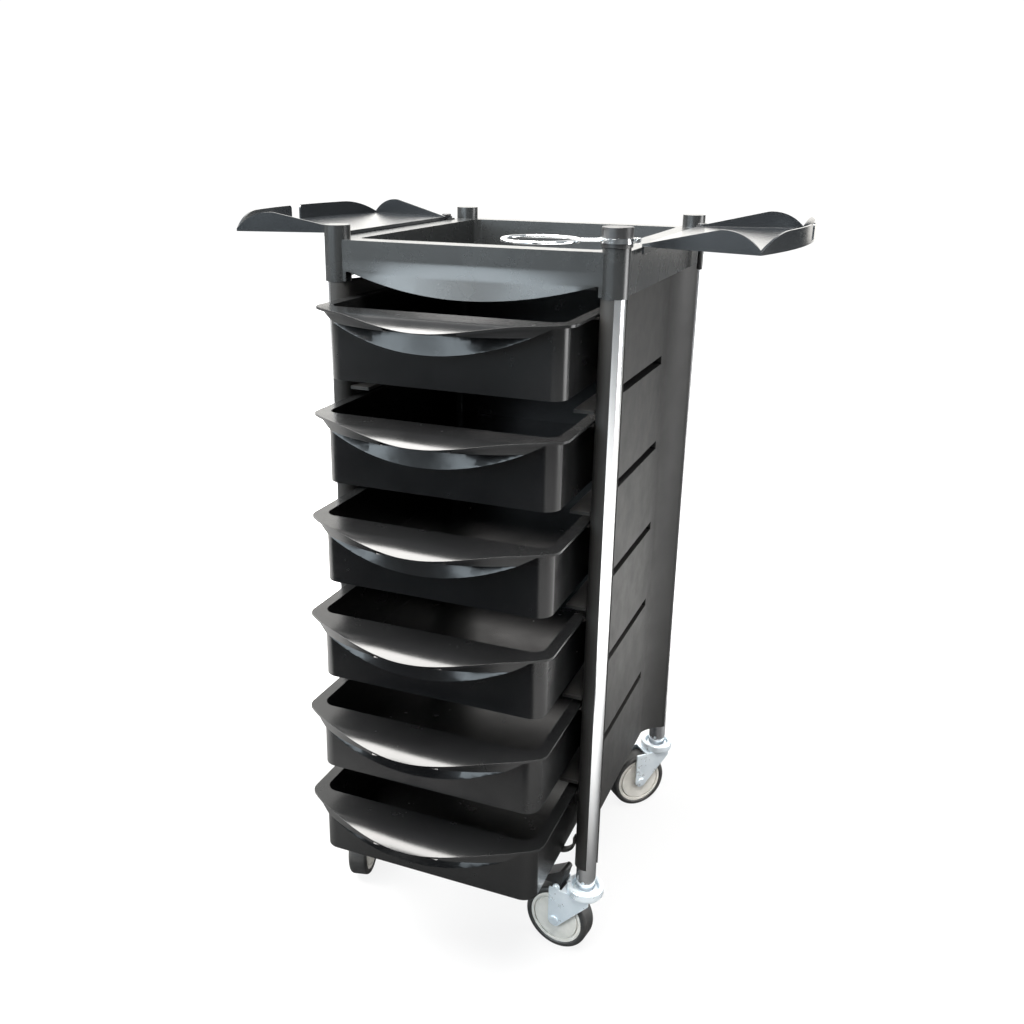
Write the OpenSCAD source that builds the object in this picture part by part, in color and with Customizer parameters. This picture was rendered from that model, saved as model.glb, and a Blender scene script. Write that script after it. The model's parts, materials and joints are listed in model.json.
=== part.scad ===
// Six-drawer spa trolley on four swivel castors, with two swing-out side trays and a dryer ring.
// +X is the user's right, -Y is the drawer side, +Z is up and the floor is at z = 0.

/* [Frame] */
// Distance between left and right post axes
post_pitch_x = 334; // [300:1:380]
// Distance between front and back post axes
post_pitch_y = 380; // [340:1:420]
// Outer diameter of a post
post_d = 25; // [22:0.5:30]
// Wall of a post tube
post_wall = 1.2; // [1:0.1:2]
// Length of a post beyond the steps from the first drawer to the last
post_beyond_steps = 222.5; // [200:0.5:260]
// Diameter of the locking hole near the foot of each post
lock_hole_d = 4; // [3:0.5:5]
// Height of the locking hole above the end of the post
lock_hole_up = 14; // [10:1:30]

/* [Top tray] */
// Outer diameter of a corner sleeve
sleeve_d = 30.4; // [29:0.2:34]
// Thickness of a sleeve's closed top
sleeve_top_t = 3.5; // [2:0.5:5]
// How far the sleeves stand above the rim
sleeve_stand = 16; // [10:1:24]
// Length of a sleeve
sleeve_len = 64; // [55:1:80]
// Wall of the tray moulding
tray_wall = 2.5; // [2:0.1:3]
// How far the side and back skirts lie inside the sleeves' outer faces
skirt_inset = 4.6; // [4.5:0.1:6]
// Depth of the skirt below the rim
skirt_depth = 47; // [44:1:52]
// Depth of the basin below the rim, floor included
basin_depth = 42.5; // [36:0.5:46]
// Gap between the basin wall and the inner face of a side panel
basin_side_gap = 1.7; // [1:0.1:6]
// Width of the rim ledge at the front and at the back
rim_ledge = 27; // [25:0.5:36]
// Radius of the basin's corners
basin_corner_r = 14; // [8:1:24]
// How far the front apron bows out in plan
apron_bow = 4; // [2:1:22]
// Depth of the apron below the rim at its middle
apron_mid_depth = 58; // [52:1:60]
// Depth of the apron below the rim at its ends
apron_end_depth = 36; // [30:1:46]

/* [Side panels] */
// Wall of a side panel
panel_t = 2.5; // [2:0.1:3.5]
// Wall of the channel that grips a post
channel_t = 2.2; // [1.8:0.1:3]
// Radial clearance between a channel and its post
channel_gap = 0.1; // [0.05:0.05:0.2]
// How far the channel wraps past the outer side of the post, in degrees
wrap_outer = 15; // [5:1:30]
// How far the channel wraps past the inner side of the post, in degrees
wrap_inner = 57; // [45:1:65]
// Half length of the flat middle of a panel
flat_half = 120; // [105:1:130]
// How far a panel reaches below the lowest drawer rim
panel_below = 97; // [90:1:110]
// How far a channel reaches below its panel
channel_below = 13; // [10:1:26]
// How far a guide rib stands in from the panel
rib_reach = 24; // [18:0.5:26]
// Height of a guide rib
rib_h = 11; // [9:0.5:14]
// Wall of a guide rib
rib_wall = 2; // [1.5:0.1:2.5]
// Height of a guide rib above the drawer rim under it
rib_above_rim = 10; // [6:0.5:14]
// How far a runner ledge stands in from the panel
ledge_reach = 9; // [6:0.5:9]
// Thickness of a runner ledge
ledge_t = 2.5; // [2:0.1:4]
// Half length of the groove seen from outside at each guide rib
groove_half = 102; // [90:1:110]
// Distance of the ribs' and ledges' front ends behind the front of the posts
runner_inset = 6.5; // [4:0.5:12]
// Thickness of a drawer's back stop
stop_t = 4; // [3:0.5:6]

/* [Tie bars] */
// Depth of a tie bar, front to back
tie_depth = 10; // [6:1:14]
// Thickness of a tie bar
tie_t = 3.5; // [3:0.5:5]
// Radius of the bends at a tie bar's ends
tie_bend_r = 17; // [12:1:24]
// Height of a tie bar's middle above the channels' ends
tie_up = 11; // [8:1:26]
// Straight height of a tie bar's upturned ends
tie_end_h = 6; // [4:1:12]

/* [Drawers] */
// Vertical distance from one drawer to the next
drawer_pitch = 118; // [112:1:120]
// Drop from the basin's underside to the first drawer's rim
first_drop = 22.5; // [20:0.5:26]
// Height of a drawer, rim to underside
drawer_h = 82; // [70:1:86]
// Outer width of a drawer box
box_w = 280; // [264:1:284]
// Outer depth of a drawer box, front to back
box_depth = 360; // [320:1:362]
// Radius of the box corners
box_corner_r = 18; // [10:1:26]
// Wall of a drawer
drawer_wall = 2.5; // [2:0.1:3.5]
// Thickness of a drawer's rim
rim_t = 3; // [2:0.1:4]
// Gap between a drawer's rim and the side panel
rim_side_gap = 1.2; // [0.8:0.1:2]
// Width of the rim behind the box
rim_back = 6; // [4:0.5:10]
// Radius of the lip's curved front in plan
lip_r = 230; // [210:1:300]
// Radius of the lip's corners
lip_corner_r = 20; // [12:1:26]
// How far the corners' arcs would stand past the lip's front arc, which trims them
lip_trim = 0.2; // [0.1:0.1:0.5]
// How far the lip's middle stands in front of the drawer's face
nose_reach = 60; // [58:1:66]
// How far the lip's edge lies below the rim's top at its middle
brow_drop = 11; // [6:0.5:14]
// Length over which the lip's top rolls down to its edge
brow_run = 28; // [24:1:44]
// Depth of the lip's hanging front below the rim's top at its middle
hang_h = 36.5; // [32:0.5:42]
// How far the hanging front's lower edge lies behind the lip's edge
hang_lean = 18; // [12:1:24]
// Thickness of the hanging front, measured level
hang_t = 3; // [2.5:0.1:4]
// Half width of the hanging front where it runs out under the lip
hang_half = 134; // [120:1:136]
// Running gap under a drawer's rim and behind a closed drawer
runner_gap = 0.3; // [0.2:0.1:0.6]

/* [Drawer positions] */
// How far drawer 1, the top one, stands open
open_1 = 80; // [0:1:160]
// How far drawer 2 stands open
open_2 = 92; // [0:1:160]
// How far drawer 3 stands open
open_3 = 106; // [0:1:160]
// How far drawer 4 stands open
open_4 = 118; // [0:1:160]
// How far drawer 5 stands open
open_5 = 128; // [0:1:160]
// How far drawer 6, the bottom one, stands open
open_6 = 130; // [0:1:160]

/* [Side trays] */
// Gap between the tray skirt and the inner edge of a side tray
wing_gap = 3.5; // [3:0.1:8]
// Length of a side tray's inner edge
wing_inner_len = 284; // [270:1:290]
// Length of a side tray's outer edge, corner to corner
wing_outer_len = 360; // [340:1:380]
// Reach of a side tray from its inner edge to its outer corners
wing_reach = 132; // [120:0.5:150]
// How far the outer edge bows out in plan
wing_bow = 30; // [10:1:40]
// Thickness of a side tray's floor
wing_floor_t = 2.5; // [2:0.1:3.5]
// Wall of a side tray
wing_wall = 2.4; // [2:0.1:3]
// Height of the front and back walls at their peaks
end_wall_h = 23; // [20:1:32]
// Distance of the peaks from the outer corners
peak_in = 42; // [34:1:50]
// Height of the outer wall
outer_wall_h = 21; // [18:1:28]
// Height of the walls above the floor at the corners
corner_wall_h = 0.5; // [0.3:0.1:2]
// Length over which the outer wall falls to the corners
outer_fall = 70; // [50:1:80]
// Width of the slot in the middle of the outer wall
outer_slot = 22; // [6:1:30]
// Depth of the flange under the inner edge
wing_flange = 8; // [5:0.5:10]
// Running gap between a side tray and its lug
wing_lift = 0.3; // [0.2:0.1:0.6]
// How far a lug stands above the rim
lug_rise = 1.7; // [1:0.1:4]
// Radius of a lug round its pivot pin
lug_r = 8; // [7:0.5:10]
// Height of a lug
lug_h = 5; // [4:0.5:14]
// Distance of the pivot behind the end of a side tray's inner edge
pivot_behind = 15; // [11:0.5:18]
// Distance of the pivot from the tray skirt
pivot_out = 8.2; // [7.5:0.1:9]
// Diameter of a pivot pin
pin_d = 7.5; // [6:0.5:8]
// Running clearance of a pivot pin, on the radius
pin_gap = 0.06; // [0.03:0.01:0.1]
// Length of a pivot pin under its head
pin_len = 57; // [40:1:60]
// Diameter of a pivot pin's head
pin_head_d = 13; // [11:0.5:15]
// Height of a pivot pin's head
pin_head_h = 3; // [2:0.5:5]

/* [Dryer ring] */
// Running clearance of the ring's hub on its sleeve, on the radius
hub_gap = 0.06; // [0.03:0.01:0.1]
// Wall of the hub
hub_wall = 1.4; // [1.2:0.1:2.4]
// How far the hub's skirt reaches down the sleeve
hub_skirt = 11; // [8:0.5:14]
// How far the hub stands above the sleeve
hub_stand = 10; // [6:0.5:14]
// Diameter of the ring's wire
wire_d = 4.4; // [3:0.2:6]
// Radius of the ring, to the middle of its wire
ring_r = 40; // [34:1:44]
// Distance from the hub's axis to the ring's centre
ring_offset = 80; // [72:1:86]
// Direction of the ring from its hub, in degrees from +X
ring_dir = 202.5; // [180:0.5:225]
// Height of the clamp band round the hub
band_h = 5; // [4:0.5:7]
// Thickness of the clamp band
band_t = 1.6; // [1:0.1:2.5]
// Diameter of the clamp screw's head
clamp_screw_d = 6; // [4:0.5:8]

/* [Castors] */
// Diameter of a wheel
wheel_d = 88; // [75:1:100]
// Width of a tyre
tyre_w = 26; // [22:1:32]
// Diameter of a wheel hub
hub_d = 75; // [62:1:80]
// Rounding of a tyre's edges
tyre_edge_r = 4.5; // [2:0.5:6]
// Half width of the hub's boss
boss_half = 13.7; // [13:0.1:14.2]
// Distance from swivel axis to wheel axis
trail = 35; // [30:1:42]
// Gap between the fork's side plates
fork_gap = 29; // [28:0.5:36]
// Thickness of the fork's plates
fork_t = 2.5; // [2:0.1:3.5]
// Clearance between the wheel and the fork's crown
crown_gap = 2; // [1.5:0.5:4]
// Radius of the fork's crown
crown_r = 21; // [20:0.5:23]
// Radius of the fork round its axle
fork_tip_r = 9; // [8:0.5:11]
// Diameter of an axle
axle_d = 8; // [6:0.5:10]
// Running clearance of axles and king pins, on the radius
spin_gap = 0.06; // [0.03:0.01:0.1]
// Diameter of an axle's head
axle_head_d = 12; // [10.5:0.5:14]
// Height of an axle's head
axle_head_h = 1.6; // [1:0.1:2.5]
// Outer diameter of a swivel race
race_d = 47.5; // [44:0.5:50]
// Height of a swivel race
race_h = 11.5; // [9:0.5:14]
// Inner diameter of a swivel race's dish
dish_d = 35; // [31:0.5:36]
// Floor thickness of a swivel race's dish
dish_floor = 2; // [1.5:0.1:3]
// Diameter of the king pin
king_d = 8; // [6:0.5:10]
// Diameter of the king pin's head
king_head_d = 15; // [12:0.5:18]
// Running gap between a race and the washers of its stem
swivel_gap = 0.3; // [0.2:0.1:0.6]
// Height of the washer that carries the post
washer_h = 5.2; // [4:0.1:8]
// Length of the plug inside the post
plug_len = 46; // [30:1:70]
// Clearance between the plug and the post, on the radius
plug_gap = 0.1; // [0.05:0.05:0.2]
// Direction of the front left wheel from its post, in degrees from +X
turn_fl = 104; // [0:1:360]
// Direction of the front right wheel
turn_fr = 171; // [0:1:360]
// Direction of the back left wheel
turn_bl = 200; // [0:1:360]
// Direction of the back right wheel
turn_br = 225; // [0:1:360]

/* [Brakes] */
// Width of a brake pedal
pedal_w = 24; // [18:1:27]
// Reach of a pedal's outer end from its pivot
pedal_len = 27; // [24:1:34]
// Height of a pedal's upper end above its pivot
pedal_rise = 23; // [20:1:26]
// Diameter of a pedal's pivot pin
pedal_pin_d = 4; // [3:0.5:5]
// Distance of the pedal's pivot from the swivel axis
pedal_pivot_out = 34; // [33:0.5:36]
// Height of the pedal's pivot above the wheel
pedal_pivot_up = 7.5; // [7.5:0.5:10]

/* [Hidden] */
$fn = 96;
eps = 0.01;

plastic_black = [0.055, 0.058, 0.062];
plastic_grey = [0.70, 0.69, 0.66];
chrome = [0.80, 0.82, 0.84];
zinc = [0.74, 0.79, 0.82];
rubber_black = [0.04, 0.04, 0.04];

// Castor heights
wheel_r = wheel_d / 2;
crown_z = wheel_d + crown_gap;
race_z = crown_z + fork_t;
washer_z = race_z + dish_floor + swivel_gap;
post_z = washer_z + washer_h;
king_head_z = crown_z - swivel_gap;
king_head_h = 3;
plate_in = fork_gap / 2;
plate_out = plate_in + fork_t;

// Frame
openings = [open_1, open_2, open_3, open_4, open_5, open_6];
drawer_count = len(openings);
post_x = post_pitch_x / 2;
post_y = post_pitch_y / 2;
post_r = post_d / 2;
post_len = (drawer_count - 1) * drawer_pitch + post_beyond_steps;
post_top = post_z + post_len;
sleeve_r = sleeve_d / 2;
sleeve_top = post_top + sleeve_top_t;
sleeve_z = sleeve_top - sleeve_len;

// Top tray
rim_z = sleeve_top - sleeve_stand;
skirt_x = post_x + sleeve_r - skirt_inset;
skirt_y = post_y + sleeve_r - skirt_inset;
basin_z = rim_z - basin_depth;
apron_half = post_x - sleeve_r;
apron_r = (apron_half * apron_half + apron_bow * apron_bow) / (2 * apron_bow);
smile_sag = apron_mid_depth - apron_end_depth;
smile_half = apron_half - 4;
smile_r = (smile_half * smile_half + smile_sag * smile_sag) / (2 * smile_sag);
smile_steps = 12;

// Side panels
channel_in = post_r + channel_gap;
channel_out = channel_in + channel_t;
panel_x = post_x - channel_out;
cove_end_x = post_x + channel_out * sin(wrap_inner);
cove_end_y = post_y - channel_out * cos(wrap_inner);
cove_dx = cove_end_x - panel_x - panel_t;
cove_dy = cove_end_y - flat_half;
cove_r = (cove_dx * cove_dx + cove_dy * cove_dy) / (2 * cove_dx);
basin_x = panel_x - basin_side_gap;

// Drawers
lip_half = panel_x - rim_side_gap;
drawer_len = nose_reach + box_depth + rim_back;
lip_corner_x = lip_half - lip_corner_r;
lip_corner_y = lip_r - sqrt(pow(lip_r - lip_corner_r + lip_trim, 2) - pow(lip_corner_x, 2));
brow_r = (brow_run * brow_run + brow_drop * brow_drop) / (2 * brow_drop);
hang_out_r = lip_r - 1.5;
hang_rise = hang_h - rim_t + 1;
hang_r = (hang_half * hang_half + hang_rise * hang_rise) / (2 * hang_rise);
closed_back_y = post_y - channel_out + 1;
closed_front_y = closed_back_y - drawer_len;
function drawer_z(i) = basin_z - first_drop - i * drawer_pitch;
function drawer_y(i) = closed_front_y - openings[i];
panel_z = drawer_z(drawer_count - 1) - panel_below;
channel_z = panel_z - channel_below;
tie_z = channel_z + tie_up;
runner_front = -(post_y + post_r) + runner_inset;
runner_back = closed_back_y + runner_gap + stop_t;

// Side trays
wing_x = skirt_x + wing_gap;
wing_z = rim_z + lug_rise + wing_lift;
lug_top = rim_z + lug_rise;
pivot_x = skirt_x + pivot_out;
pivot_back = wing_inner_len / 2 + pivot_behind;
wing_bow_r = (pow(wing_outer_len / 2, 2) + wing_bow * wing_bow) / (2 * wing_bow);
end_dy = (wing_outer_len - wing_inner_len) / 2;
end_len = sqrt(wing_reach * wing_reach + end_dy * end_dy);
end_turn = atan2(end_dy, wing_reach);
pin_r = pin_d / 2;

// Dryer ring
hub_in = sleeve_r + hub_gap;
hub_out = hub_in + hub_wall;
hub_z = sleeve_top - hub_skirt;
ring_z = sleeve_top - 4;

// Castors and brakes
axle_r = axle_d / 2;
pedal_pivot_z = wheel_d + pedal_pivot_up;
ear_half = pedal_pin_d / 2 + 2.5;

// The frame's origin lies under the middle of the object as it stands.
front_reach = -min([for (i = [0 : drawer_count - 1]) drawer_y(i)]);
back_reach = post_y + race_d / 2;
frame_y = (front_reach - back_reach) / 2;

module place() {
  translate([0, frame_y, 0]) children();
}

module at_post(sx, sy) {
  translate([sx * post_x, sy * post_y, 0]) children();
}

module at_caster(sx, sy, turn) {
  at_post(sx, sy) rotate([0, 0, turn]) children();
}

// A rectangle with round corners, centred on x, from y = 0 backwards
module round_rect(w, l, r) {
  translate([-w / 2 + r, 0]) square([w - 2 * r, l]);
  translate([-w / 2, r]) square([w, l - 2 * r]);
  for (x = [-w / 2 + r, w / 2 - r], y = [r, l - r]) translate([x, y]) circle(r);
}

// Mirrors a part drawn on the right over to the left when sx is -1.
module flip(sx) {
  if (sx < 0) mirror([1, 0, 0]) children();
  else children();
}

// ---- Top tray ----

// Outline of the tray, drawn in from its outer faces by d
module tray_outline(d) {
  front = skirt_y + apron_bow;
  intersection() {
    translate([0, apron_r - front]) circle(apron_r - d, $fn = 720);
    translate([-skirt_x + d, -front - 1]) square([2 * (skirt_x - d), front + 1 + skirt_y - d]);
  }
}

module basin_outline(d) {
  l = 2 * (post_y + sleeve_r - rim_ledge - d);
  translate([0, -l / 2]) round_rect(2 * (basin_x - d), l, basin_corner_r - d);
}

function smile_depth(x) = apron_mid_depth - smile_r + sqrt(smile_r * smile_r - x * x);

// What is taken off under the front apron, so that its lower edge is a smile
module apron_cut() {
  front = skirt_y + apron_bow + 1;
  low = apron_mid_depth + 40 - rim_z;
  smile_x = [for (k = [-smile_steps : smile_steps]) smile_half * k / smile_steps];
  translate([0, -front, 0]) rotate([-90, 0, 0]) linear_extrude(apron_bow + 10) polygon([
    [-apron_half, low],
    [-apron_half, apron_end_depth - rim_z],
    for (x = smile_x) [x, smile_depth(x) - rim_z],
    [apron_half, apron_end_depth - rim_z],
    [apron_half, low]
  ]);
}

module skirt_ring() {
  difference() {
    tray_outline(0);
    tray_outline(tray_wall);
  }
}

module skirt() {
  translate([0, 0, rim_z - tray_wall]) linear_extrude(tray_wall) tray_outline(0);
  difference() {
    translate([0, 0, rim_z - skirt_depth]) linear_extrude(skirt_depth) skirt_ring();
    apron_cut();
  }
  difference() {
    translate([0, 0, rim_z - apron_mid_depth]) linear_extrude(apron_mid_depth - 1) intersection() {
      skirt_ring();
      translate([-apron_half, -skirt_y - apron_bow - 2]) square([2 * apron_half, 30]);
    }
    apron_cut();
  }
}

module lug_plan() {
  circle(lug_r);
  translate([-pivot_out - 1, -lug_r]) square([pivot_out + 1, 2 * lug_r]);
}

module top_tray() {
  color(plastic_black) place() difference() {
    union() {
      skirt();
      translate([0, 0, basin_z]) linear_extrude(basin_depth) basin_outline(0);
      for (sx = [-1, 1], sy = [-1, 1]) at_post(sx, sy)
        translate([0, 0, sleeve_z]) cylinder(r = sleeve_r, h = sleeve_len);
      for (sx = [-1, 1]) flip(sx) translate([pivot_x, pivot_back, lug_top - lug_h])
        linear_extrude(lug_h) lug_plan();
    }
    translate([0, 0, basin_z + tray_wall]) linear_extrude(basin_depth) basin_outline(tray_wall);
    for (sx = [-1, 1], sy = [-1, 1]) at_post(sx, sy)
      translate([0, 0, sleeve_z - 1]) cylinder(r = channel_in, h = post_top - sleeve_z + 1);
    for (sx = [-1, 1]) flip(sx) translate([pivot_x, pivot_back, lug_top - lug_h - 1])
      cylinder(r = pin_r + pin_gap, h = lug_h + 2);
  }
}

// ---- Posts ----

module post(sx, sy) {
  color(chrome) place() at_post(sx, sy) difference() {
    translate([0, 0, post_z]) cylinder(r = post_r, h = post_len);
    translate([0, 0, post_z - 1]) cylinder(r = post_r - post_wall, h = post_len + 2);
    translate([0, 0, post_z + lock_hole_up]) rotate([90, 0, 0])
      cylinder(d = lock_hole_d, h = post_r + 1, $fn = 32);
  }
}

module post_fl() { post(-1, -1); }
module post_fr() { post(1, -1); }
module post_bl() { post(-1, 1); }
module post_br() { post(1, 1); }

// ---- Side panels ----

// Channel round the back right post: a ring that is open to the outside
module channel_plan() {
  translate([post_x, post_y]) difference() {
    circle(channel_out);
    circle(channel_in);
    polygon([
      [0, 0],
      40 * [sin(wrap_inner), -cos(wrap_inner)],
      [60, 0],
      [60, 60],
      40 * [sin(wrap_outer), cos(wrap_outer)]
    ]);
  }
}

// Web that flares from the flat panel out to the channel's edge
module cove_plan() {
  intersection() {
    translate([panel_x + panel_t + cove_r, flat_half]) difference() {
      circle(cove_r + panel_t, $fn = 180);
      circle(cove_r, $fn = 180);
    }
    translate([panel_x, flat_half]) square([cove_end_x - panel_x, cove_end_y - flat_half]);
  }
}

module both_ends() {
  children();
  mirror([0, 1, 0]) children();
}

module rib(z) {
  reach = [rib_reach + eps, 2 * (groove_half + rib_wall), rib_h + 2 * rib_wall];
  translate([panel_x - rib_reach, -groove_half - rib_wall, z - rib_wall]) cube(reach);
  translate([panel_x - rib_reach, runner_front, z - rib_wall])
    cube([rib_reach + eps, runner_back - runner_front, 2 * rib_wall]);
}

module groove(z) {
  translate([panel_x - rib_reach + rib_wall, -groove_half, z])
    cube([rib_reach - rib_wall + panel_t + 1, 2 * groove_half, rib_h]);
}

module ledge(z) {
  translate([panel_x - ledge_reach, runner_front, z - rim_t - runner_gap - ledge_t])
    cube([ledge_reach + eps, runner_back - runner_front, ledge_t]);
  translate([panel_x - ledge_reach, runner_back - stop_t, z - rim_t - runner_gap - eps])
    cube([ledge_reach + eps, stop_t, rim_t + runner_gap]);
}

module panel(sx) {
  color(plastic_black) place() flip(sx) difference() {
    union() {
      translate([0, 0, panel_z]) linear_extrude(rim_z - tray_wall - panel_z)
        translate([panel_x, -flat_half]) square([panel_t, 2 * flat_half]);
      translate([0, 0, panel_z]) linear_extrude(sleeve_z - panel_z) both_ends()
        translate([panel_x, flat_half - 1]) square([panel_t, post_y - flat_half + 1]);
      translate([0, 0, channel_z]) linear_extrude(sleeve_z - channel_z) both_ends() {
        channel_plan();
        cove_plan();
      }
      for (i = [1 : drawer_count - 1]) rib(drawer_z(i) + rib_above_rim);
      for (i = [0 : drawer_count - 1]) ledge(drawer_z(i));
    }
    for (i = [1 : drawer_count - 1]) groove(drawer_z(i) + rib_above_rim);
    both_ends() translate([panel_x - 1, 0, 0]) rotate([90, 0, 90]) linear_extrude(cove_end_x - panel_x + 2)
      polygon([
        [flat_half - 1, channel_z - 1],
        [cove_end_y - 4, channel_z - 1],
        [cove_end_y - 4, channel_z],
        [flat_half + 8, panel_z],
        [flat_half - 1, panel_z]
      ]);
    both_ends() translate([post_x, post_y, channel_z - 1])
      cylinder(r = channel_in, h = sleeve_z - channel_z + 2);
  }
}

module panel_left() { panel(-1); }
module panel_right() { panel(1); }

// ---- Tie bars ----

// Strip of width w with its lower corners rounded by r, cut off at the height h
module tie_outline(w, r, h) {
  intersection() {
    union() {
      translate([-w / 2 + r, 0]) square([w - 2 * r, h]);
      translate([-w / 2, r]) square([w, h - r]);
      for (x = [-w / 2 + r, w / 2 - r]) translate([x, r]) circle(r);
    }
    translate([-w / 2 - 1, -1]) square([w + 2, h + 1]);
  }
}

module tie_bar(sy) {
  end_r = tie_bend_r + tie_t;
  w = 2 * panel_x;
  color(plastic_black) place() translate([0, sy * post_y + tie_depth / 2, tie_z])
    rotate([90, 0, 0]) linear_extrude(tie_depth) difference() {
      tie_outline(w, end_r, end_r + tie_end_h);
      translate([0, tie_t]) tie_outline(w - 2 * tie_t, tie_bend_r, end_r + tie_end_h);
    }
}

module tie_bar_front() { tie_bar(-1); }
module tie_bar_back() { tie_bar(1); }

// ---- Drawers, drawn with the middle of the lip's front edge at the origin and the rim's top at z = 0 ----

module rim_plan() {
  intersection() {
    translate([0, lip_r]) circle(lip_r, $fn = 360);
    union() {
      polygon([
        [0, lip_r],
        [-2 * lip_corner_x, lip_r + 2 * (lip_corner_y - lip_r)],
        [2 * lip_corner_x, lip_r + 2 * (lip_corner_y - lip_r)]
      ]);
      for (sx = [-1, 1]) translate([sx * lip_corner_x, lip_corner_y]) circle(lip_corner_r);
    }
  }
  translate([-lip_half, lip_corner_y]) square([2 * lip_half, drawer_len - lip_corner_y]);
}

module box_plan(d) {
  translate([0, nose_reach + d]) round_rect(box_w - 2 * d, box_depth - 2 * d, box_corner_r - d);
}

// Side view of the rim, y to the right: level, then rolling down to the lip's edge
module rim_section() {
  translate([brow_run, -rim_t]) square([drawer_len - brow_run, rim_t]);
  intersection() {
    translate([brow_run, -brow_r]) difference() {
      circle(brow_r, $fn = 360);
      circle(brow_r - rim_t, $fn = 360);
    }
    translate([-1, -brow_drop - 2 * rim_t]) square([brow_run + 1, brow_drop + 2 * rim_t]);
  }
}

module rim() {
  intersection() {
    translate([-lip_half - 1, 0, 0]) rotate([90, 0, 90]) linear_extrude(2 * lip_half + 2) rim_section();
    translate([0, 0, -brow_drop - 3 * rim_t]) linear_extrude(brow_drop + 4 * rim_t) rim_plan();
  }
}

// Side view of what may hang: all below the middle of the rim's thickness
module under_rim_section() {
  low = hang_h + 3;
  translate([brow_run - 0.01, -low]) square([nose_reach - brow_run, low - rim_t / 2]);
  intersection() {
    translate([brow_run, -brow_r]) circle(brow_r - rim_t / 2, $fn = 360);
    translate([-1, -low]) square([brow_run + 1, low]);
  }
}

function hang_z(x) = hang_r - hang_h - sqrt(hang_r * hang_r - x * x);

// Front that hangs from the lip, leans inward and ends in a smile like the top tray's apron
module hanging_front() {
  low = hang_h + 2;
  lean = (hang_lean - lip_r + hang_out_r) / (hang_h - brow_drop - 1);
  low_r = hang_out_r - lean * (low - brow_drop - 1);
  smile_x = [for (k = [-smile_steps : smile_steps]) hang_half * k / smile_steps];
  intersection() {
    translate([0, lip_r, 0]) rotate_extrude($fn = 360) polygon([
      [hang_out_r, 1],
      [hang_out_r - hang_t, 1],
      [hang_out_r - hang_t, -brow_drop - 1],
      [low_r - hang_t, -low],
      [low_r, -low],
      [hang_out_r, -brow_drop - 1]
    ]);
    translate([-lip_half, 0, 0]) rotate([90, 0, 90]) linear_extrude(2 * lip_half) under_rim_section();
    translate([0, nose_reach, 0]) rotate([90, 0, 0]) linear_extrude(nose_reach + 1) polygon([
      for (x = smile_x) [x, hang_z(x)],
      [hang_half, 1],
      [-hang_half, 1]
    ]);
  }
}

module drawer(i) {
  color(plastic_black) place() translate([0, drawer_y(i), drawer_z(i)]) difference() {
    union() {
      rim();
      translate([0, 0, -drawer_h]) linear_extrude(drawer_h) box_plan(0);
      hanging_front();
    }
    translate([0, 0, -drawer_h + drawer_wall]) linear_extrude(drawer_h) box_plan(drawer_wall);
  }
}

module drawer_1() { drawer(0); }
module drawer_2() { drawer(1); }
module drawer_3() { drawer(2); }
module drawer_4() { drawer(3); }
module drawer_5() { drawer(4); }
module drawer_6() { drawer(5); }

// ---- Side trays, drawn on the right ----

// Region between the lines that run along the front and back edges, d inside them
module between_ends(d) {
  far_x = wing_x + wing_reach + wing_bow + 5;
  near_y = wing_inner_len / 2 - d / cos(end_turn);
  near_x = d > 0 ? wing_x - 5 : wing_x;
  function edge_y(x) = near_y + (x - wing_x) * tan(end_turn);
  polygon([
    [near_x, -edge_y(near_x)],
    [far_x, -edge_y(far_x)],
    [far_x, edge_y(far_x)],
    [near_x, edge_y(near_x)]
  ]);
}

module outer_circle(d) {
  translate([wing_x + wing_reach + wing_bow - wing_bow_r, 0]) circle(wing_bow_r - d, $fn = 720);
}

module side_tray_plan() {
  intersection() {
    outer_circle(0);
    between_ends(0);
  }
}

// Side view of a front or back wall: a straight rise, a round peak and a fall to the corner
module end_wall() {
  drop = end_wall_h - wing_floor_t - corner_wall_h;
  start = wing_floor_t + corner_wall_h;
  peak_r = (peak_in * peak_in + drop * drop) / (2 * drop);
  peak_x = end_len - peak_in;
  cz = end_wall_h - peak_r;
  far = sqrt(peak_x * peak_x + pow(cz - start, 2));
  rise = asin(peak_r / far) - atan2(start - cz, peak_x) - 0.3;
  touch = sqrt(far * far - peak_r * peak_r);
  intersection() {
    polygon([
      [-5, 0],
      [-5, start - 5 * tan(rise)],
      [end_len + 5, start + (end_len + 5) * tan(rise)],
      [end_len + 5, 0]
    ]);
    union() {
      translate([-6, -1]) square([6 + touch * cos(rise), end_wall_h + 2]);
      translate([peak_x, cz]) circle(peak_r, $fn = 180);
    }
  }
}

// Side view of one half of the outer wall
module outer_wall() {
  drop = outer_wall_h - wing_floor_t - corner_wall_h;
  fall_r = (outer_fall * outer_fall + drop * drop) / (2 * drop);
  fall_y = wing_outer_len / 2 - outer_fall;
  top_r = 5;
  translate([outer_slot / 2, 0]) square([fall_y - outer_slot / 2, outer_wall_h - top_r]);
  translate([outer_slot / 2 + top_r, 0]) square([fall_y - outer_slot / 2 - top_r, outer_wall_h]);
  translate([outer_slot / 2 + top_r, outer_wall_h - top_r]) circle(top_r);
  intersection() {
    translate([fall_y, outer_wall_h - fall_r]) circle(fall_r, $fn = 360);
    translate([fall_y, 0]) square([outer_fall + 3, outer_wall_h + 1]);
  }
}

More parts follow.
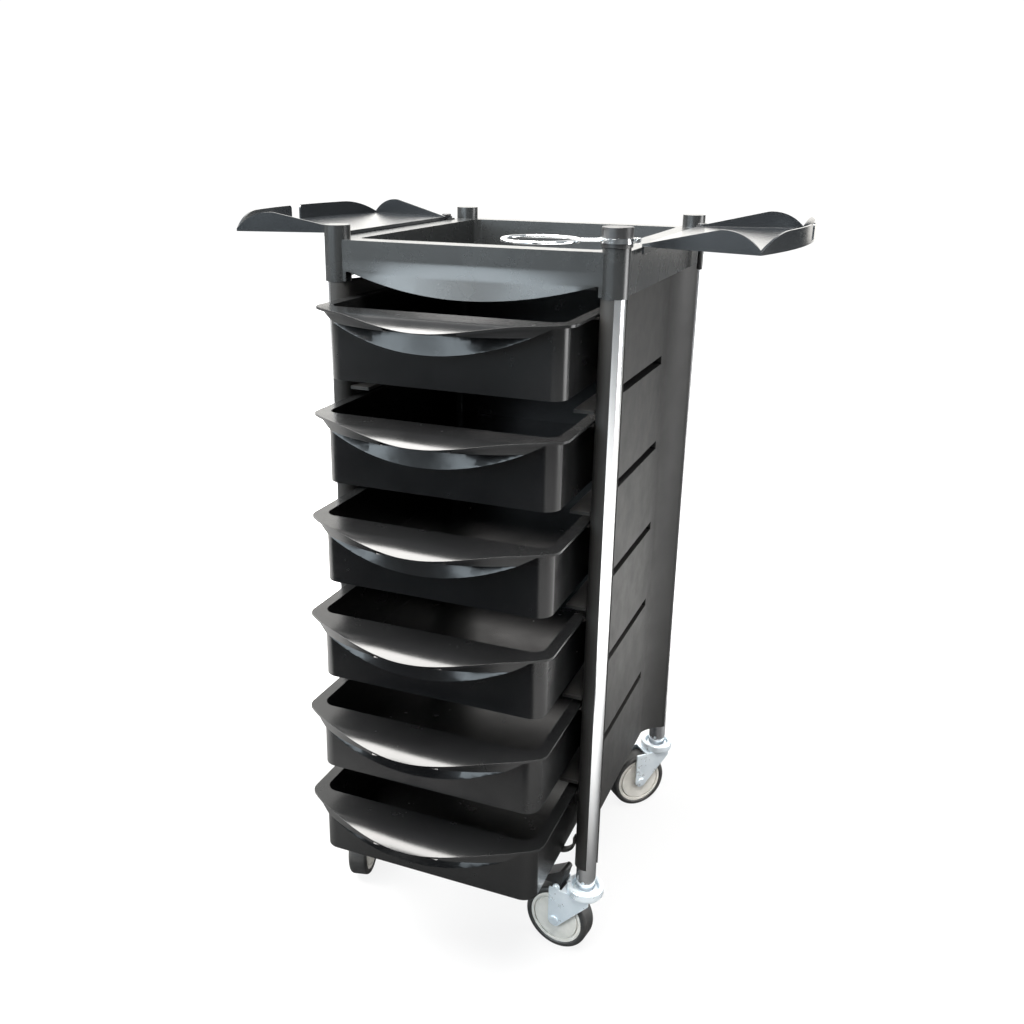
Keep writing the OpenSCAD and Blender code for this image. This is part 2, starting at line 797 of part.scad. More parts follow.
module side_tray(sx) {
  color(plastic_black) place() flip(sx) difference() {
    union() {
      translate([0, 0, wing_z]) linear_extrude(wing_floor_t) {
        side_tray_plan();
        translate([pivot_x, pivot_back]) circle(lug_r);
        translate([pivot_x - lug_r / 2, wing_inner_len / 2 - 12])
          square([1.5 * lug_r, pivot_back - wing_inner_len / 2 + 12]);
      }
      translate([wing_x, 1 - wing_inner_len / 2, wing_z - wing_flange])
        cube([wing_wall, wing_inner_len - 2, wing_flange + 1]);
      intersection() {
        translate([0, 0, wing_z + 1]) linear_extrude(end_wall_h) difference() {
          side_tray_plan();
          between_ends(wing_wall);
        }
        both_ends() translate([wing_x, wing_inner_len / 2, wing_z]) rotate([0, 0, end_turn])
          translate([0, 2, 0]) rotate([90, 0, 0]) linear_extrude(wing_wall + 4) end_wall();
      }
      intersection() {
        translate([0, 0, wing_z + 1]) linear_extrude(outer_wall_h) difference() {
          side_tray_plan();
          outer_circle(wing_wall);
        }
        both_ends() translate([wing_x, 0, wing_z]) rotate([90, 0, 90])
          linear_extrude(wing_reach + wing_bow + 10) outer_wall();
      }
    }
    translate([pivot_x, pivot_back, wing_z - 1]) cylinder(r = pin_r, h = wing_floor_t + 2);
  }
}

module side_tray_left() { side_tray(-1); }
module side_tray_right() { side_tray(1); }

module pivot_pin(sx) {
  color(plastic_black) place() flip(sx) translate([pivot_x, pivot_back, wing_z + wing_floor_t]) {
    translate([0, 0, -pin_len]) cylinder(r = pin_r, h = pin_len + eps);
    cylinder(d = pin_head_d, h = pin_head_h);
  }
}

module pivot_pin_left() { pivot_pin(-1); }
module pivot_pin_right() { pivot_pin(1); }

// ---- Dryer ring ----

module ring_hub() {
  color(plastic_black) place() at_post(1, -1) difference() {
    translate([0, 0, hub_z]) cylinder(r = hub_out, h = hub_skirt + hub_stand);
    translate([0, 0, hub_z - 1]) cylinder(r = hub_in, h = hub_skirt + 1 + swivel_gap);
  }
}

module dryer_ring() {
  lug_out = hub_out + band_t + clamp_screw_d;
  color(chrome) place() at_caster(1, -1, ring_dir) difference() {
    union() {
      translate([0, 0, ring_z - band_h / 2]) cylinder(r = hub_out + band_t, h = band_h);
      translate([-lug_out, -3, ring_z - band_h / 2]) cube([lug_out - hub_out + 1, 6, band_h]);
      translate([hub_out + band_t / 2, 0, ring_z]) rotate([0, 90, 0])
        cylinder(d = wire_d, h = ring_offset - ring_r - hub_out - band_t / 2);
      translate([ring_offset, 0, ring_z]) rotate_extrude()
        translate([ring_r, 0]) circle(d = wire_d, $fn = 48);
    }
    translate([0, 0, ring_z - band_h]) cylinder(r = hub_out, h = 2 * band_h);
    translate([-lug_out - 1, -0.5, ring_z - band_h]) cube([lug_out - hub_out + 2, 1, 2 * band_h]);
    translate([-hub_out - band_t - clamp_screw_d / 2, 5, ring_z])
      rotate([90, 0, 0]) cylinder(r = 1.5, h = 10);
  }
}

module clamp_screw() {
  color(chrome) place() at_caster(1, -1, ring_dir)
    translate([-hub_out - band_t - clamp_screw_d / 2, 3, ring_z]) rotate([90, 0, 0]) {
      cylinder(r = 1.5, h = 8);
      translate([0, 0, -2.4]) cylinder(d = clamp_screw_d - 0.6, h = 2.4);
    }
}

// ---- Castors, drawn with the swivel axis on z and the wheel trailing along +x ----

module stem(sx, sy) {
  color(zinc) place() at_post(sx, sy) {
    translate([0, 0, post_z - eps]) cylinder(r = post_r - post_wall - plug_gap, h = plug_len);
    translate([0, 0, washer_z]) cylinder(r = post_r + 3, h = washer_h);
    translate([0, 0, king_head_z - eps]) cylinder(d = king_d, h = washer_z - king_head_z + 1);
    translate([0, 0, king_head_z - king_head_h]) cylinder(d = king_head_d, h = king_head_h);
  }
}

module stem_fl() { stem(-1, -1); }
module stem_fr() { stem(1, -1); }
module stem_bl() { stem(-1, 1); }
module stem_br() { stem(1, 1); }

module race(sx, sy, turn) {
  color(zinc) place() at_caster(sx, sy, turn) difference() {
    union() {
      translate([0, 0, race_z]) cylinder(r = race_d / 2 - 2, h = race_h);
      translate([0, 0, race_z + 2]) cylinder(r = race_d / 2, h = race_h - 4);
      for (z = [race_z + 2, race_z + race_h - 2]) translate([0, 0, z]) rotate_extrude()
        translate([race_d / 2 - 2, 0]) circle(r = 2, $fn = 48);
    }
    translate([0, 0, race_z + dish_floor]) cylinder(d = dish_d, h = race_h);
    translate([0, 0, race_z - 1]) cylinder(r = king_d / 2 + spin_gap, h = race_h);
  }
}

module race_fl() { race(-1, -1, turn_fl); }
module race_fr() { race(1, -1, turn_fr); }
module race_bl() { race(-1, 1, turn_bl); }
module race_br() { race(1, 1, turn_br); }

// Side view of a fork plate: upright edge behind, slanting edge in front, round tip under the axle
module fork_side(brake) {
  back = -12;
  dz = crown_z - 6 - wheel_r;
  dx = trail - back;
  far = sqrt(dx * dx + dz * dz);
  slope = atan2(dz, dx) + asin(fork_tip_r / far);
  touch = sqrt(far * far - fork_tip_r * fork_tip_r);
  polygon([
    [back, race_z],
    [back, crown_z - 6],
    [back + touch * cos(slope), crown_z - 6 - touch * sin(slope)],
    [trail, wheel_r],
    [trail + fork_tip_r, wheel_r],
    [trail + fork_tip_r, race_z]
  ]);
  translate([trail, wheel_r]) circle(fork_tip_r);
  if (brake) {
    translate([pedal_pivot_out, pedal_pivot_z]) circle(ear_half);
    translate([pedal_pivot_out - ear_half, race_z - 1]) square([2 * ear_half, pedal_pivot_z - race_z + 1]);
  }
}

module fork(sx, sy, turn, brake) {
  color(zinc) place() at_caster(sx, sy, turn) difference() {
    union() {
      translate([0, 0, crown_z]) linear_extrude(fork_t) {
        circle(crown_r);
        translate([0, -plate_out]) square([27, 2 * plate_out]);
      }
      for (y = [-plate_in, plate_out]) translate([0, y, 0]) rotate([90, 0, 0])
        linear_extrude(fork_t) fork_side(brake);
    }
    translate([0, 0, crown_z - 1]) cylinder(r = king_d / 2 + spin_gap, h = fork_t + 2);
    translate([trail, plate_out + 1, wheel_r]) rotate([90, 0, 0]) cylinder(r = axle_r, h = 2 * plate_out + 2);
    if (brake) translate([pedal_pivot_out, plate_out + 1, pedal_pivot_z]) rotate([90, 0, 0])
      cylinder(d = pedal_pin_d, h = 2 * plate_out + 2);
  }
}

module fork_fl() { fork(-1, -1, turn_fl, true); }
module fork_fr() { fork(1, -1, turn_fr, true); }
module fork_bl() { fork(-1, 1, turn_bl, false); }
module fork_br() { fork(1, 1, turn_br, false); }

module at_axle(sx, sy, turn) {
  at_caster(sx, sy, turn) translate([trail, 0, wheel_r]) rotate([90, 0, 0]) children();
}

module axle(sx, sy, turn) {
  color(zinc) place() at_axle(sx, sy, turn) {
    translate([0, 0, -plate_out - eps]) cylinder(r = axle_r, h = 2 * (plate_out + eps));
    translate([0, 0, plate_out]) cylinder(d = axle_head_d, h = axle_head_h);
    translate([0, 0, -plate_out - axle_head_h]) cylinder(d = axle_head_d, h = axle_head_h);
  }
}

module axle_fl() { axle(-1, -1, turn_fl); }
module axle_fr() { axle(1, -1, turn_fr); }
module axle_bl() { axle(-1, 1, turn_bl); }
module axle_br() { axle(1, 1, turn_br); }

module hub(sx, sy, turn) {
  hub_w = tyre_w - 3;
  color(plastic_grey) place() at_axle(sx, sy, turn) difference() {
    union() {
      translate([0, 0, -hub_w / 2]) cylinder(d = hub_d, h = hub_w);
      translate([0, 0, -boss_half]) cylinder(r = axle_head_d / 2 + 3, h = 2 * boss_half);
    }
    for (z = [-hub_w / 2 - 1, hub_w / 2 - 2]) translate([0, 0, z]) difference() {
      cylinder(d = hub_d - 10, h = 3);
      translate([0, 0, -1]) cylinder(d = hub_d - 14, h = 5);
    }
    translate([0, 0, -boss_half - 1]) cylinder(r = axle_r + spin_gap, h = 2 * boss_half + 2);
  }
}

module hub_fl() { hub(-1, -1, turn_fl); }
module hub_fr() { hub(1, -1, turn_fr); }
module hub_bl() { hub(-1, 1, turn_bl); }
module hub_br() { hub(1, 1, turn_br); }

module tyre(sx, sy, turn) {
  edge_x = wheel_r - tyre_edge_r;
  edge_y = tyre_w / 2 - tyre_edge_r;
  color(rubber_black) place() at_axle(sx, sy, turn) rotate_extrude($fn = 144) {
    translate([hub_d / 2, -tyre_w / 2]) square([edge_x - hub_d / 2, tyre_w]);
    translate([hub_d / 2, -edge_y]) square([wheel_r - hub_d / 2, 2 * edge_y]);
    for (y = [-edge_y, edge_y]) translate([edge_x, y]) circle(tyre_edge_r, $fn = 48);
  }
}

module tyre_fl() { tyre(-1, -1, turn_fl); }
module tyre_fr() { tyre(1, -1, turn_fr); }
module tyre_bl() { tyre(-1, 1, turn_bl); }
module tyre_br() { tyre(1, 1, turn_br); }

// ---- Brake pedals ----

// Side view of a pedal round its pivot: upper end by the race, outer end over the wheel
module pedal_side() {
  circle(ear_half);
  translate([-4.6, pedal_rise - 4]) circle(4);
  translate([pedal_len - 3.2, 2.4]) circle(3.2);
  polygon([
    [-3.8, 0],
    [2, -5],
    [5, -5.5],
    [8.5, 1.5],
    [pedal_len - 3, -0.5],
    [pedal_len - 1, 4.3],
    [-1, pedal_rise - 2.2],
    [-4.8, pedal_rise - 0.3],
    [-8.3, pedal_rise - 4.2]
  ]);
}

module pedal(sx, sy, turn) {
  color(plastic_black) place() at_caster(sx, sy, turn)
    translate([pedal_pivot_out, pedal_w / 2, pedal_pivot_z]) rotate([90, 0, 0]) difference() {
      linear_extrude(pedal_w) pedal_side();
      translate([0, 0, -1]) cylinder(r = pedal_pin_d / 2 + spin_gap, h = pedal_w + 2);
    }
}

module pedal_fl() { pedal(-1, -1, turn_fl); }
module pedal_fr() { pedal(1, -1, turn_fr); }

module pedal_pin(sx, sy, turn) {
  color(zinc) place() at_caster(sx, sy, turn)
    translate([pedal_pivot_out, plate_out + 1, pedal_pivot_z]) rotate([90, 0, 0])
      cylinder(d = pedal_pin_d, h = 2 * plate_out + 2);
}

module pedal_pin_fl() { pedal_pin(-1, -1, turn_fl); }
module pedal_pin_fr() { pedal_pin(1, -1, turn_fr); }

top_tray();
post_fl();
post_fr();
post_bl();
post_br();
panel_left();
panel_right();
tie_bar_front();
tie_bar_back();
drawer_1();
drawer_2();
drawer_3();
drawer_4();
drawer_5();
drawer_6();
side_tray_left();
side_tray_right();
pivot_pin_left();
pivot_pin_right();
ring_hub();
dryer_ring();
clamp_screw();
stem_fl();
stem_fr();
stem_bl();
stem_br();
race_fl();
race_fr();
race_bl();
race_br();
fork_fl();
fork_fr();
fork_bl();
fork_br();
axle_fl();
axle_fr();
axle_bl();
axle_br();
hub_fl();
hub_fr();
hub_bl();
hub_br();
tyre_fl();
tyre_fr();
tyre_bl();
tyre_br();
pedal_fl();
pedal_fr();
pedal_pin_fl();
pedal_pin_fr();
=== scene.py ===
import json
import math

import bmesh
import bpy
from mathutils import Matrix, Vector


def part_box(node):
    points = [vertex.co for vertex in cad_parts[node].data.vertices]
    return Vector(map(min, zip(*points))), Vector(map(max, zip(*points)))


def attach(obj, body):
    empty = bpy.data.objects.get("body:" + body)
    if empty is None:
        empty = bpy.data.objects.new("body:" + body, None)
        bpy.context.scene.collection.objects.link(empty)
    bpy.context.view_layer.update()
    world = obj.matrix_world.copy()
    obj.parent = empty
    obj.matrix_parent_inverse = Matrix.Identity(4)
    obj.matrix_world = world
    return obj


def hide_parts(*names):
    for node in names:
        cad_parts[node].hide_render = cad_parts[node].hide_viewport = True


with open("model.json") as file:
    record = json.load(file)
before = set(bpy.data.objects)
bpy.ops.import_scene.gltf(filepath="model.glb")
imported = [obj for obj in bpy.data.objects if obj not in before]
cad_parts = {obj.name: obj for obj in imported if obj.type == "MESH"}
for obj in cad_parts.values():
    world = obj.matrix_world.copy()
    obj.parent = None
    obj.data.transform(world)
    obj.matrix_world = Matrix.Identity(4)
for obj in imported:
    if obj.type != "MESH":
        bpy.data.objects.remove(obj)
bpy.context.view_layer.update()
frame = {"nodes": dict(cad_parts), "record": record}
nodes = frame["nodes"]
node_body = {n: b for b, names in frame["record"]["behaviour"]["bodies"].items() for n in names}

MM = 0.001


# ---- Camera ----

CAMERA_PLACE = (0.4722, -1.2086, 1.0111)
CAMERA_TURN = math.radians(22.67)
CAMERA_TILT = math.radians(18.95)
CAMERA_ROLL = math.radians(0.5)
LENS = 37.32
SENSOR_WIDTH = 36.0
SHIFT = (0.0334, -0.0089)


def place_camera():
    """Looks down on the trolley from its front right, from a turn and a tilt, with a little roll."""
    back = Vector((math.sin(CAMERA_TURN) * math.cos(CAMERA_TILT),
                   -math.cos(CAMERA_TURN) * math.cos(CAMERA_TILT),
                   math.sin(CAMERA_TILT)))
    level = Vector((math.cos(CAMERA_TURN), math.sin(CAMERA_TURN), 0.0))
    upright = back.cross(level)
    right = level * math.cos(CAMERA_ROLL) + upright * math.sin(CAMERA_ROLL)
    up = back.cross(right)
    camera = bpy.data.objects.new("camera", bpy.data.cameras.new("camera"))
    bpy.context.scene.collection.objects.link(camera)
    axes = Matrix((right, up, back)).transposed().to_4x4()
    camera.matrix_world = Matrix.Translation(CAMERA_PLACE) @ axes
    camera.data.sensor_width = SENSOR_WIDTH
    camera.data.lens = LENS
    camera.data.shift_x, camera.data.shift_y = SHIFT
    camera.data.clip_start = 0.05
    camera.data.clip_end = 60.0
    bpy.context.scene.camera = camera


# ---- Materials ----

class Finish:
    """A node material with one shader, built up from patterns on the piece's own coordinates."""

    def __init__(self, name, roughness=0.5, metallic=0.0, specular=0.5):
        self.material = bpy.data.materials.new(name)
        self.material.use_nodes = True
        self.tree = self.material.node_tree
        self.shader = self.tree.nodes["Principled BSDF"]
        self.shader.inputs["Roughness"].default_value = roughness
        self.shader.inputs["Metallic"].default_value = metallic
        self.shader.inputs["Specular IOR Level"].default_value = specular
        self.coords = self.tree.nodes.new("ShaderNodeTexCoord")
        self.normal = None

    def link(self, source, target):
        self.tree.links.new(source, target)

    def mapped(self, stretch):
        mapping = self.tree.nodes.new("ShaderNodeMapping")
        mapping.inputs["Scale"].default_value = stretch
        self.link(self.coords.outputs["Object"], mapping.inputs["Vector"])
        return mapping.outputs["Vector"]

    def noise(self, scale, detail=3.0, stretch=(1, 1, 1), rough=0.5):
        node = self.tree.nodes.new("ShaderNodeTexNoise")
        node.inputs["Scale"].default_value = scale
        node.inputs["Detail"].default_value = detail
        node.inputs["Roughness"].default_value = rough
        self.link(self.mapped(stretch), node.inputs["Vector"])
        return node.outputs["Fac"]

    def spread(self, value, low, high, span=(0.3, 0.7)):
        node = self.tree.nodes.new("ShaderNodeMapRange")
        node.inputs["From Min"].default_value, node.inputs["From Max"].default_value = span
        node.inputs["To Min"].default_value, node.inputs["To Max"].default_value = low, high
        self.link(value, node.inputs["Value"])
        return node.outputs["Result"]

    def tint(self, value, dark, light, span=(0.3, 0.7)):
        ramp = self.tree.nodes.new("ShaderNodeValToRGB")
        ramp.color_ramp.elements[0].position, ramp.color_ramp.elements[1].position = span
        ramp.color_ramp.elements[0].color = (*dark, 1.0)
        ramp.color_ramp.elements[1].color = (*light, 1.0)
        self.link(value, ramp.inputs["Fac"])
        self.link(ramp.outputs["Color"], self.shader.inputs["Base Color"])

    def vary_roughness(self, value, low, high):
        self.link(self.spread(value, low, high), self.shader.inputs["Roughness"])

    def bump(self, value, strength, depth):
        node = self.tree.nodes.new("ShaderNodeBump")
        node.inputs["Strength"].default_value = strength
        node.inputs["Distance"].default_value = depth
        self.link(value, node.inputs["Height"])
        if self.normal is not None:
            self.link(self.normal, node.inputs["Normal"])
        self.normal = node.outputs["Normal"]
        self.link(self.normal, self.shader.inputs["Normal"])


def moulded_plastic(name, dark, light, low, high, grain_depth=0.00002, specular=0.5):
    """Plastic with a fine mould grain, and faces that are not quite flat."""
    finish = Finish(name, specular=specular)
    finish.tint(finish.noise(7.0, 4.0), dark, light)
    finish.vary_roughness(finish.noise(26.0, 5.0, rough=0.6), low, high)
    finish.bump(finish.noise(1600.0, 2.0), 0.3, grain_depth)
    finish.bump(finish.noise(11.0, 1.0), 0.06, 0.0003)
    return finish.material


def chromed_steel(name, dark, light, low, high, stretch):
    """Chrome whose faint streaks run along the tube when they are stretched."""
    finish = Finish(name, metallic=1.0)
    finish.tint(finish.noise(14.0, 3.0, stretch), dark, light)
    finish.vary_roughness(finish.noise(60.0, 4.0, stretch), low, high)
    finish.bump(finish.noise(240.0, 3.0, stretch), 0.15, 0.00003)
    return finish.material


def zinc_plating(name):
    finish = Finish(name, metallic=0.6)
    finish.tint(finish.noise(45.0, 3.0), (0.72, 0.79, 0.84), (0.84, 0.9, 0.94))
    finish.vary_roughness(finish.noise(80.0, 3.0), 0.26, 0.36)
    finish.bump(finish.noise(500.0, 2.0), 0.12, 0.00002)
    return finish.material


def wheel_nylon(name):
    finish = Finish(name)
    finish.tint(finish.noise(60.0, 4.0), (0.43, 0.415, 0.38), (0.56, 0.54, 0.5))
    finish.vary_roughness(finish.noise(90.0, 3.0), 0.36, 0.5)
    finish.bump(finish.noise(1100.0, 2.0), 0.3, 0.00006)
    return finish.material


def tread_rubber(name):
    finish = Finish(name)
    finish.tint(finish.noise(40.0, 4.0), (0.012, 0.012, 0.012), (0.04, 0.038, 0.036))
    finish.vary_roughness(finish.noise(70.0, 4.0), 0.42, 0.62)
    finish.bump(finish.noise(900.0, 4.0), 0.4, 0.0001)
    return finish.material


FINISHES = {
    "tray_plastic": moulded_plastic(
        "gloss_charcoal", (0.0085, 0.0092, 0.0094), (0.0105, 0.0112, 0.0115), 0.25, 0.29),
    "drawer_plastic": moulded_plastic(
        "gloss_black", (0.0028, 0.0029, 0.003), (0.005, 0.0052, 0.0054), 0.2, 0.28, specular=0.3),
    "panel_plastic": moulded_plastic(
        "satin_charcoal", (0.01, 0.0098, 0.0094), (0.016, 0.0156, 0.015), 0.46, 0.56,
        grain_depth=0.00004, specular=0.25),
    "side_tray_plastic": moulded_plastic(
        "gloss_slate", (0.006, 0.007, 0.008), (0.008, 0.009, 0.0102), 0.18, 0.22),
    "fitting_plastic": moulded_plastic(
        "satin_black", (0.006, 0.006, 0.0065), (0.01, 0.01, 0.0105), 0.32, 0.42),
    "tube_chrome": chromed_steel(
        "chromed_tube", (0.62, 0.63, 0.65), (0.76, 0.77, 0.78), 0.12, 0.22, (1, 1, 0.06)),
    "wire_chrome": chromed_steel(
        "chromed_wire", (0.84, 0.85, 0.86), (0.93, 0.94, 0.95), 0.08, 0.15, (1, 1, 1)),
    "zinc_plate": zinc_plating("zinc_plating"),
    "wheel_plastic": wheel_nylon("wheel_nylon"),
    "tyre_rubber": tread_rubber("tread_rubber"),
}
# Pale paint at the corners of the side panels' slots, a painted highlight for the light caught there
SLOT_HIGHLIGHT_PAINT = moulded_plastic(
    "slot_painted_highlight", (0.36, 0.36, 0.34), (0.55, 0.55, 0.52), 0.45, 0.6, specular=0.3)
node_slot = {part["node"]: part["material_slot"] for part in frame["record"]["subparts"]}


# ---- Shapes ----

# Rounding of each node's edges in millimetres, by the start of its name
ROUNDING = {
    "top_tray": 1.0, "panel": 0.7, "tie_bar": 0.8, "drawer": 0.9, "side_tray": 0.8, "pivot_pin": 0.8,
    "ring_hub": 1.0, "dryer_ring": 0.5, "clamp_screw": 0.5, "stem": 0.7, "fork": 0.5, "axle": 0.6,
    "pedal_pin": 0.4, "pedal": 0.9, "post": 0.25, "race": 0.5, "hub": 0.6, "tyre": 0.3,
}
ROUNDED_FROM = math.radians(28.0)
SHARP_FROM = math.radians(50.0)
ROUNDING_STEPS = 3


def finish_piece(bm, node):
    """Makes the mesh an object that stands for the node, with its finish and on its body."""
    mesh = bpy.data.meshes.new(node + "_moulding")
    bm.to_mesh(mesh)
    bm.free()
    for polygon in mesh.polygons:
        polygon.use_smooth = True
    mesh.materials.append(FINISHES[node_slot[node]])
    piece = bpy.data.objects.new(node + "_moulding", mesh)
    bpy.context.scene.collection.objects.link(piece)
    weighted = piece.modifiers.new("even shading", "WEIGHTED_NORMAL")
    weighted.keep_sharp = True
    weighted.weight = 60
    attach(piece, node_body[node])
    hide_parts(node)
    return piece


def merged_copy(node):
    """The node's mesh with its loose triangles joined and its flat faces made whole."""
    bm = bmesh.new()
    bm.from_mesh(nodes[node].data)
    bmesh.ops.remove_doubles(bm, verts=bm.verts, dist=4e-6)
    bmesh.ops.dissolve_degenerate(bm, edges=bm.edges, dist=1e-6)
    bmesh.ops.dissolve_limit(bm, angle_limit=math.radians(0.6), verts=bm.verts, edges=bm.edges,
                             use_dissolve_boundaries=False)
    return bm


def edges_over(bm, angle):
    return [e for e in bm.edges if len(e.link_faces) == 2 and e.calc_face_angle() > angle]


def round_edges(bm, width):
    bmesh.ops.bevel(bm, geom=edges_over(bm, ROUNDED_FROM), offset=width, offset_type="OFFSET",
                    segments=ROUNDING_STEPS, profile=0.5, affect="EDGES", clamp_overlap=True, material=-1)


def rounding_for(node):
    return ROUNDING[max((key for key in ROUNDING if node.startswith(key)), key=len)] * MM


def slice_level(bm, heights):
    for height in heights:
        bmesh.ops.bisect_plane(bm, geom=bm.verts[:] + bm.edges[:] + bm.faces[:], dist=1e-6,
                               plane_co=(0, 0, height), plane_no=(0, 0, 1))


def flare_apron(bm, node):
    """The smile at the foot of the front apron flares a little, and more so in the middle."""
    low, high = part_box(node)
    foot, start, flare = 58 * MM, 34 * MM, 4.5 * MM
    half, front_depth = 140 * MM, 26 * MM
    slice_level(bm, [high[2] - depth * MM for depth in range(36, 55, 3)])
    for vert in bm.verts:
        x, y, drop = vert.co.x, vert.co.y, high[2] - vert.co.z
        if y < low[1] + front_depth and drop > start and abs(x) < half:
            vert.co.y -= flare * ((drop - start) / (foot - start)) ** 1.6 * (1.0 - (x / half) ** 2)


def set_front_back(bm, node):
    """Under the rolled nose the front steps back and comes forward again down to its smile edge."""
    low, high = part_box(node)
    nose, top = low[1], high[2]
    start, foot, end = 12.4 * MM, 36.5 * MM, 2 * MM
    half, front_depth, step_back = 134 * MM, 48 * MM, 19.5 * MM
    slice_level(bm, [top - start - step * MM for step in (0.0, 2.5, 6.0, 10.0, 14.5, 19.0)])
    for vert in bm.verts:
        x, y, drop = vert.co.x, vert.co.y, top - vert.co.z
        edge = foot - (foot - end) * (x / half) ** 2
        if y < nose + front_depth and drop > start - 0.1 * MM and edge > start:
            down = min(1.0, (drop - start) / (edge - start + 1e-6))
            inwards = min(1.0, 1.6 * (edge - start) / (foot - start))
            vert.co.y += step_back * (1.0 - down) * inwards


def paint_slot_highlight(bm, node):
    """The small rounded corners at each long slot's front end are painted pale, a painted highlight for
    the light they catch; its long faces are not.
    """
    inside_posts, slot_depth, corner_reach = 12.3 * MM, 24.5 * MM, 50 * MM
    out = 1.0 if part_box(node)[0][0] > 0 else -1.0
    low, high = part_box("post_fr")
    skin = (low[0] + high[0]) / 2 - inside_posts
    for face in bm.faces:
        middle = face.calc_center_median()
        sunk = skin - out * middle.x
        flank = abs(face.normal.z) > 0.9 and abs(sunk - slot_depth / 2) < 1.1 * MM
        back = out * face.normal.x > 0.9 and abs(sunk - slot_depth) < 0.6 * MM
        if (flank or back) and abs(middle.y) < corner_reach:
            # Painted highlight: these slot faces take the pale paint
            face.material_index = 1


def moulding(node):
    """The node again, with its own details and its edges rounded."""
    bm = merged_copy(node)
    if node == "top_tray":
        flare_apron(bm, node)
    elif node.startswith("drawer"):
        set_front_back(bm, node)
    round_edges(bm, rounding_for(node))
    for e in edges_over(bm, SHARP_FROM):
        e.smooth = False
    if node.startswith("panel"):
        paint_slot_highlight(bm, node)
    piece = finish_piece(bm, node)
    if node.startswith("panel"):
        piece.data.materials.append(SLOT_HIGHLIGHT_PAINT)


place_camera()
for node in nodes:
    moulding(node)


# ---- Floor and light ----

def lay_sheet(name, half_size, centre, paint):
    """A flat sheet of the set, which is no part of the trolley."""
    bm = bmesh.new()
    bmesh.ops.create_grid(bm, x_segments=1, y_segments=1, size=1.0)
    bmesh.ops.scale(bm, vec=(*half_size, 1.0), verts=bm.verts)
    bmesh.ops.translate(bm, vec=centre, verts=bm.verts)
    mesh = bpy.data.meshes.new(name)
    bm.to_mesh(mesh)
    bm.free()
    mesh.materials.append(paint.material)
    sheet = bpy.data.objects.new(name, mesh)
    bpy.context.scene.collection.objects.link(sheet)
    return sheet


def lay_floor():
    """A floor that is white to the eye, and for the light has painted shade: darker near the trolley than
    far from it, for the trolley's shade on it.
    """
    paint = Finish("pale_floor", roughness=0.8, specular=0.1)
    paint.shader.inputs["Emission Color"].default_value = (1.0, 1.0, 1.0, 1.0)
    reach = paint.tree.nodes.new("ShaderNodeVectorMath")
    reach.operation = "LENGTH"
    paint.link(paint.coords.outputs["Object"], reach.inputs[0])
    # Painted shade: the floor's colour darkens near the trolley, where its shade falls, as seen in
    # reflections
    paint.tint(reach.outputs["Value"], (0.05, 0.05, 0.05), (0.4, 0.4, 0.4), (0.4, 1.0))
    path = paint.tree.nodes.new("ShaderNodeLightPath")
    glow = paint.tree.nodes.new("ShaderNodeMath")
    glow.operation = "MULTIPLY"
    paint.link(path.outputs["Is Camera Ray"], glow.inputs[0])
    paint.link(paint.spread(reach.outputs["Value"], 0.86, 1.25, (0.45, 1.3)), glow.inputs[1])
    paint.link(glow.outputs["Value"], paint.shader.inputs["Emission Strength"])
    lay_sheet("floor", half_size=(9.0, 9.0), centre=(0.0, 0.0, 0.0), paint=paint)


def lay_flag():
    """A black card on the floor before the trolley, seen only in reflections, keeps its fronts dark."""
    cloth = Finish("black_flag", roughness=0.9, specular=0.0)
    cloth.tint(cloth.noise(9.0), (0.003, 0.003, 0.004), (0.006, 0.006, 0.007))
    flag = lay_sheet("flag", half_size=(1.5, 1.4), centre=(-1.0, -2.1, 0.003), paint=cloth)
    flag.visible_camera = False
    flag.visible_diffuse = False
    flag.visible_shadow = False


BACKDROP_STRENGTH = 1.05
ROOM_COLOUR = (0.88, 0.95, 1.0)
# The room's strength goes from the first to the second as a ray's rise goes over this range
ROOM_STRENGTH = (0.06, 0.4)
ROOM_RISE = (-0.12, 0.3)
WARM_WHITE = (1.0, 0.98, 0.95)
# Name, place, point it looks at, size, power and colour of each soft light
LIGHTS = (
    ("key", (-1.0, -0.75, 2.9), (-1.0, 0.0, 0.0), (4.4, 1.9), 900.0, WARM_WHITE),
    ("left_strip", (-3.5, 0.75, 2.6), (-1.4, 0.2, 0.4), (2.2, 2.4), 140.0, WARM_WHITE),
    ("front_window", (-1.7, -3.0, 1.62), (0.0, -0.2, 0.95), (3.8, 1.25), 150.0, (0.8, 0.92, 1.0)),
    ("back_glow", (-0.9, 3.2, 1.7), (0.0, 0.0, 0.7), (5.0, 2.4), 75.0, (1.0, 0.97, 0.92)),
    ("right_fill", (2.2, 0.6, 0.9), (0.15, 0.0, 0.5), (1.2, 1.6), 50.0, (1.0, 1.0, 1.0)),
)


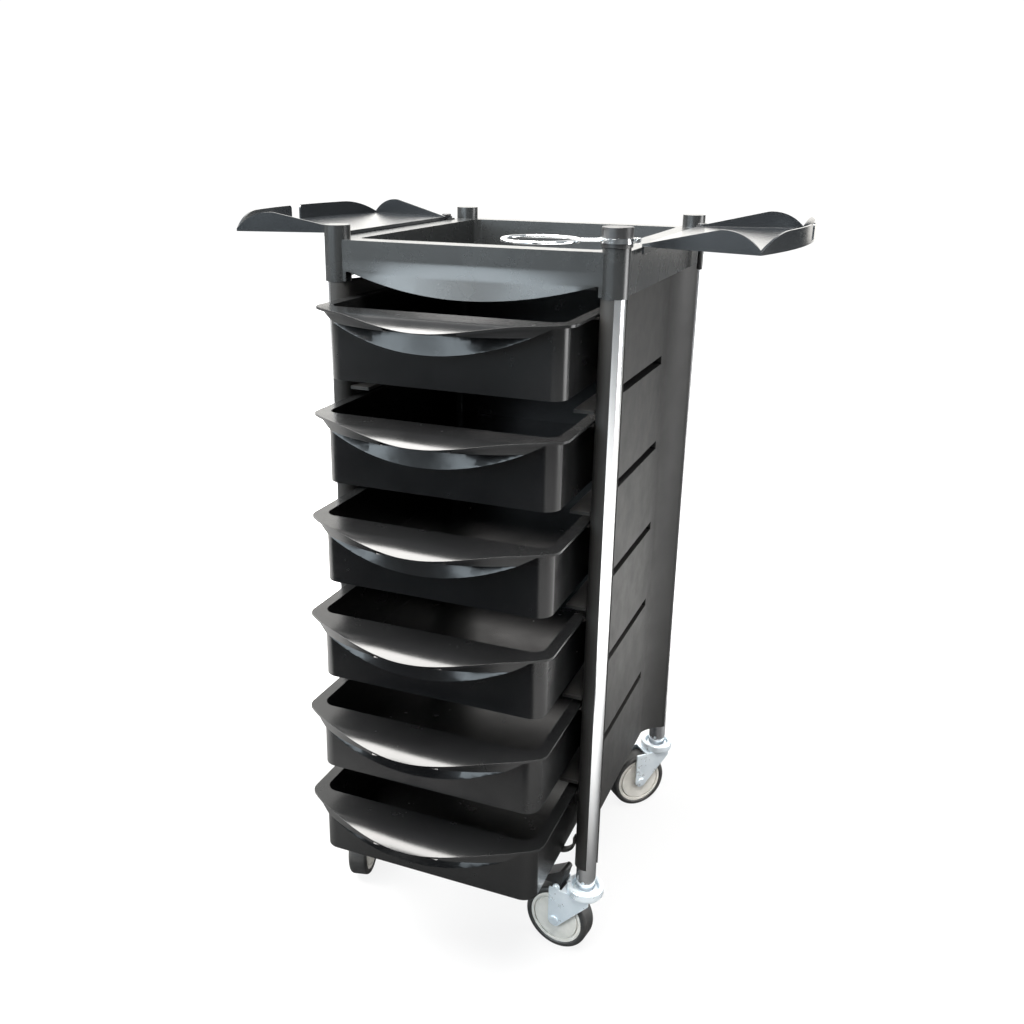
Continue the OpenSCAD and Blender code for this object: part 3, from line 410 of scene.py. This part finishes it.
def soft_light(name, place, aim, size, power, colour):
    lamp = bpy.data.lights.new(name, "AREA")
    lamp.shape = "RECTANGLE"
    lamp.size, lamp.size_y = size
    lamp.energy = power
    lamp.color = colour
    light = bpy.data.objects.new(name, lamp)
    bpy.context.scene.collection.objects.link(light)
    light.location = place
    light.rotation_euler = (Vector(aim) - Vector(place)).to_track_quat("-Z", "Y").to_euler()
    light.visible_camera = False


def background(tree, colour, strength):
    node = tree.nodes.new("ShaderNodeBackground")
    node.inputs["Color"].default_value = (*colour, 1.0)
    node.inputs["Strength"].default_value = strength
    return node


def light_studio():
    """A white backdrop for the eye, and for the light a room that is bright above and dark below."""
    world = bpy.data.worlds.new("studio")
    bpy.context.scene.world = world
    world.use_nodes = True
    tree = world.node_tree
    tree.nodes.clear()
    out = tree.nodes.new("ShaderNodeOutputWorld")
    mix = tree.nodes.new("ShaderNodeMixShader")
    path = tree.nodes.new("ShaderNodeLightPath")
    seen = background(tree, (1.0, 1.0, 1.0), BACKDROP_STRENGTH)
    room = background(tree, ROOM_COLOUR, 1.0)
    coords = tree.nodes.new("ShaderNodeTexCoord")
    height = tree.nodes.new("ShaderNodeSeparateXYZ")
    ramp = tree.nodes.new("ShaderNodeMapRange")
    ramp.interpolation_type = "SMOOTHSTEP"
    ramp.inputs["From Min"].default_value, ramp.inputs["From Max"].default_value = ROOM_RISE
    ramp.inputs["To Min"].default_value, ramp.inputs["To Max"].default_value = ROOM_STRENGTH
    tree.links.new(coords.outputs["Generated"], height.inputs["Vector"])
    tree.links.new(height.outputs["Z"], ramp.inputs["Value"])
    tree.links.new(ramp.outputs["Result"], room.inputs["Strength"])
    tree.links.new(path.outputs["Is Camera Ray"], mix.inputs["Fac"])
    tree.links.new(room.outputs["Background"], mix.inputs[1])
    tree.links.new(seen.outputs["Background"], mix.inputs[2])
    tree.links.new(mix.outputs["Shader"], out.inputs["Surface"])
    for light in LIGHTS:
        soft_light(*light)
    bpy.context.scene.view_settings.view_transform = "Standard"


lay_floor()
lay_flag()
light_studio()

bpy.context.view_layer.update()
